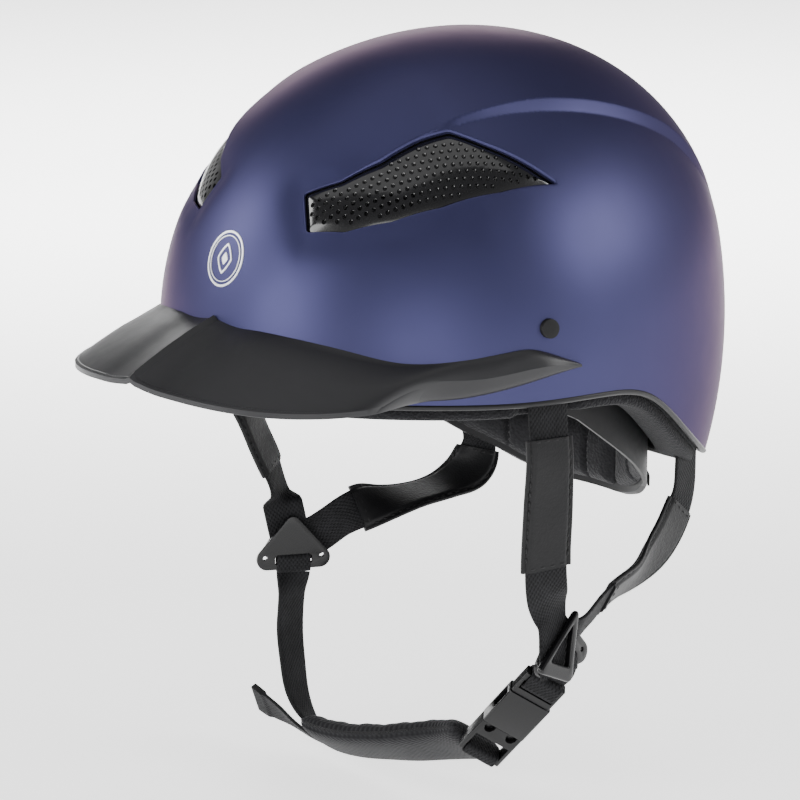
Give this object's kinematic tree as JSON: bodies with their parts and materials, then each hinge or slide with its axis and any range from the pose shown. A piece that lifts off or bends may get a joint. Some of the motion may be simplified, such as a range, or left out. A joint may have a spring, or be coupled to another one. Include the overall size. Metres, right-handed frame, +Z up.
{
  "type": "riding helmet",
  "caption": "Equestrian riding helmet with a domed shell, swept side vents, a peaked visor, a dial-fit cradle and a padded chin harness with a side-release buckle.",
  "frame": {"origin": "the middle of the shell's dome, where the seated head is centred", "axes": "+Z up when worn, -Y to the front where the visor is, +X to the wearer's left where the buckle is"},
  "size_m": [0.2192, 0.3202, 0.3464],
  "materials": {
    "shell_paint": "satin metallic",
    "edge_trim": "gloss",
    "grille_gloss": "gloss",
    "trim_matte": "matte",
    "badge_metal": "satin",
    "liner_foam": "matte",
    "lining_fabric": "knitted",
    "pad_fabric": "mesh",
    "webbing": "woven",
    "leatherette": "fine grain",
    "buckle_plastic": "satin"
  },
  "bodies": {
    "helmet": {"outer_shell": "shell_paint", "rim_bead": "edge_trim", "vent_grille_left": "grille_gloss", "vent_grille_right": "grille_gloss", "visor_plug_left": "trim_matte", "visor_plug_right": "trim_matte", "front_badge": "badge_metal", "visor": "trim_matte", "impact_liner": "liner_foam", "rim_lining": "lining_fabric", "crown_pad": "pad_fabric", "brow_pad": "pad_fabric", "side_pad_left": "pad_fabric", "side_pad_right": "pad_fabric", "cradle_pivot_left": "trim_matte", "cradle_pivot_right": "trim_matte", "strap_tab_left_front": "webbing", "strap_tab_left_rear": "webbing", "strap_tab_right_front": "webbing", "strap_tab_right_rear": "webbing", "strap_left_front": "webbing", "strap_left_rear": "webbing", "sleeve_left_front": "leatherette", "sleeve_left_rear": "leatherette", "divider_plate_left": "buckle_plastic", "divider_clip_left": "buckle_plastic", "buckle_strap": "webbing", "buckle_socket": "buckle_plastic"},
    "cradle": {"cradle": "trim_matte", "cradle_pad_left": "pad_fabric", "cradle_pad_right": "pad_fabric", "nape_pad": "pad_fabric", "dial_cover": "trim_matte"},
    "dial": {"fit_dial": "trim_matte", "dial_pinion": "trim_matte"},
    "band_left": {"fit_band_left": "trim_matte"},
    "band_right": {"fit_band_right": "trim_matte"},
    "right_harness": {"strap_right_front": "webbing", "strap_right_rear": "webbing", "sleeve_right_front": "leatherette", "sleeve_right_rear": "leatherette", "divider_plate_right": "buckle_plastic", "divider_clip_right": "buckle_plastic", "chin_strap": "webbing", "chin_pad": "leatherette", "buckle_plug": "buckle_plastic"},
    "prong_front": {"buckle_prong_front": "buckle_plastic"},
    "prong_rear": {"buckle_prong_rear": "buckle_plastic"}
  },
  "joints": [
    {"name": "harness_release", "type": "hinge", "parent": "helmet", "child": "right_harness", "pos_m": [-0.0965, -0.027, -0.026], "axis": [0.2202, 0.8988, -0.379], "range_deg": [0, 45]},
    {"name": "prong_front_squeeze", "type": "hinge", "parent": "right_harness", "child": "prong_front", "pos_m": [0.05019, -0.0109, -0.17421], "axis": [-0.6271, 0.6998, 0.3421], "range_deg": [0, 6], "stiffness_Nm_per_rad": 0.001},
    {"name": "prong_rear_squeeze", "type": "hinge", "parent": "right_harness", "child": "prong_rear", "pos_m": [0.05556, -0.00314, -0.18025], "axis": [-0.6271, 0.6998, 0.3421], "range_deg": [-6, 0]},
    {"name": "cradle_tilt", "type": "hinge", "parent": "helmet", "child": "cradle", "pos_m": [0, -0.004, -0.011], "axis": [1, 0, 0], "range_deg": [-8, 0]},
    {"name": "dial_turn", "type": "hinge", "parent": "cradle", "child": "dial", "pos_m": [0, 0.11, -0.084], "axis": [0, 1, 0], "range_deg": [-60, 90]},
    {"name": "band_left_draw", "type": "hinge", "parent": "cradle", "child": "band_left", "pos_m": [0, 0.038, -0.09], "axis": [0, 0, 1], "range_deg": [-5.2, 7.8]},
    {"name": "band_right_draw", "type": "hinge", "parent": "cradle", "child": "band_right", "pos_m": [0, 0.038, -0.078], "axis": [0, 0, 1], "range_deg": [-7.8, 5.2]}
  ],
  "couplings": [
    {"joint": "prong_rear_squeeze", "follows": "prong_front_squeeze", "ratio": -1},
    {"joint": "band_left_draw", "follows": "dial_turn", "ratio": 0.082361},
    {"joint": "band_right_draw", "follows": "dial_turn", "ratio": -0.082361}
  ]
}
